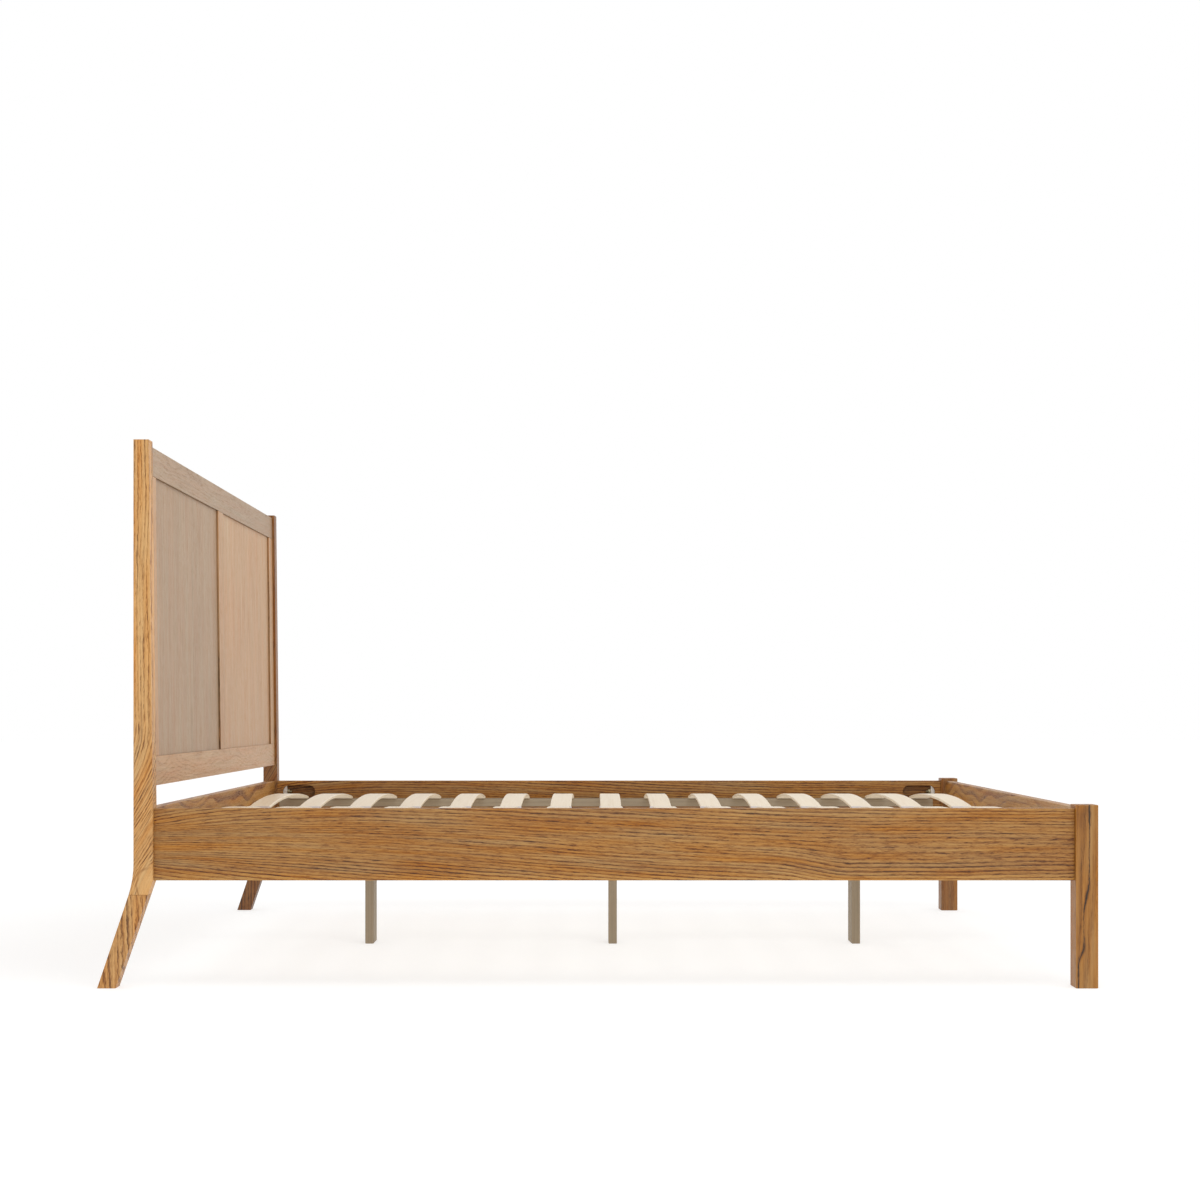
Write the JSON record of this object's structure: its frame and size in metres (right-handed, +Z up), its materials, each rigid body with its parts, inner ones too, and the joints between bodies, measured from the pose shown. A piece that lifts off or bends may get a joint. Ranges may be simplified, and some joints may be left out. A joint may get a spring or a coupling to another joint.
{
  "type": "wooden bed frame",
  "caption": "Low wooden bed frame with a panelled headboard on raked legs, square foot posts, bolted side rails and bowed slats over a centre rail on legs.",
  "frame": {"origin": "on the floor, at the centre of the frame's outline seen from above", "axes": "+X from the headboard to the foot end, +Y across the bed to the right as seen from the foot end, +Z up"},
  "size_m": [2.188, 1.6, 1.2],
  "materials": {
    "oak": "satin lacquer over warm brown oak grain",
    "pale_oak": "satin lacquer over pale oak grain",
    "birch": "smooth sealed laminated birch",
    "plain_wood": "matte planed softwood, greyish brown",
    "steel": "yellow passivated threaded steel",
    "zinc": "bright zinc plated",
    "grey_plastic": "light grey moulded plastic"
  },
  "bodies": {
    "root": {"head_post_left": "oak", "head_post_right": "oak", "headboard_top_rail": "pale_oak", "headboard_bottom_rail": "pale_oak", "headboard_centre_stile": "pale_oak", "headboard_stile_left": "pale_oak", "headboard_stile_right": "pale_oak", "headboard_panel_left": "pale_oak", "headboard_panel_right": "pale_oak", "head_cross_rail": "oak", "foot_post_left": "oak", "foot_post_right": "oak", "foot_rail": "oak", "side_rail_left": "oak", "side_rail_right": "oak", "slat_ledger_left": "plain_wood", "slat_ledger_right": "plain_wood", "centre_rail": "plain_wood", "centre_leg_1": "plain_wood", "centre_leg_2": "plain_wood", "centre_leg_3": "plain_wood", "rail_stud_head_left": "steel", "rail_stud_head_right": "steel", "rail_stud_foot_left": "steel", "rail_stud_foot_right": "steel", "half_moon_washer_head_left": "zinc", "half_moon_washer_head_right": "zinc", "half_moon_washer_foot_left": "zinc", "half_moon_washer_foot_right": "zinc", "slat_left_01": "birch", "slat_left_02": "birch", "slat_left_03": "birch", "slat_left_04": "birch", "slat_left_05": "birch", "slat_left_06": "birch", "slat_left_07": "birch", "slat_left_08": "birch", "slat_left_09": "birch", "slat_left_10": "birch", "slat_left_11": "birch", "slat_left_12": "birch", "slat_left_13": "birch", "slat_left_14": "birch", "slat_left_15": "birch", "slat_right_01": "birch", "slat_right_02": "birch", "slat_right_03": "birch", "slat_right_04": "birch", "slat_right_05": "birch", "slat_right_06": "birch", "slat_right_07": "birch", "slat_right_08": "birch", "slat_right_09": "birch", "slat_right_10": "birch", "slat_right_11": "birch", "slat_right_12": "birch", "slat_right_13": "birch", "slat_right_14": "birch", "slat_right_15": "birch"}
  },
  "joints": []
}
